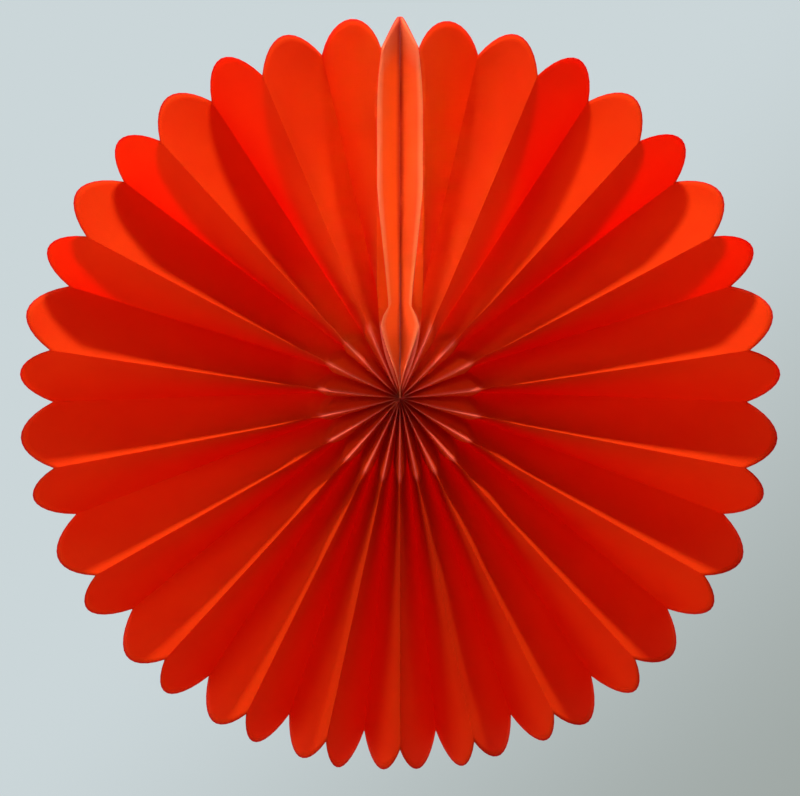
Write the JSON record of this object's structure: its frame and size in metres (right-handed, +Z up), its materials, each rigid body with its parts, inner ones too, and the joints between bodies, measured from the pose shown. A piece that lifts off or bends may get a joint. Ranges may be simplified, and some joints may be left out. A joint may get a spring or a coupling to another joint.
{
  "type": "paper fan rosette",
  "caption": "Hanging decoration: a die-cut pleated tissue fan opened through a full turn into a petalled disc, with card end leaves joined at the top seam",
  "frame": {"origin": "top of the seam where the two covers meet, which is the point it hangs from", "axes": "+Z up when hung, front faces -Y, +X to the right; Y is the depth of the fan and its shortest extent"},
  "size_m": [0.3992, 0.0541, 0.3987],
  "materials": {
    "tissue": "pleated red tissue paper, matt, lets light through",
    "card": "thin red-orange card, matt",
    "tape": "double-sided tissue tape",
    "thread": "red cotton thread"
  },
  "bodies": {
    "root": {"pleated_tissue": "tissue", "cover_left": "card", "cover_right": "card", "seam_tape": "tape", "centre_tie": "thread"}
  },
  "joints": []
}
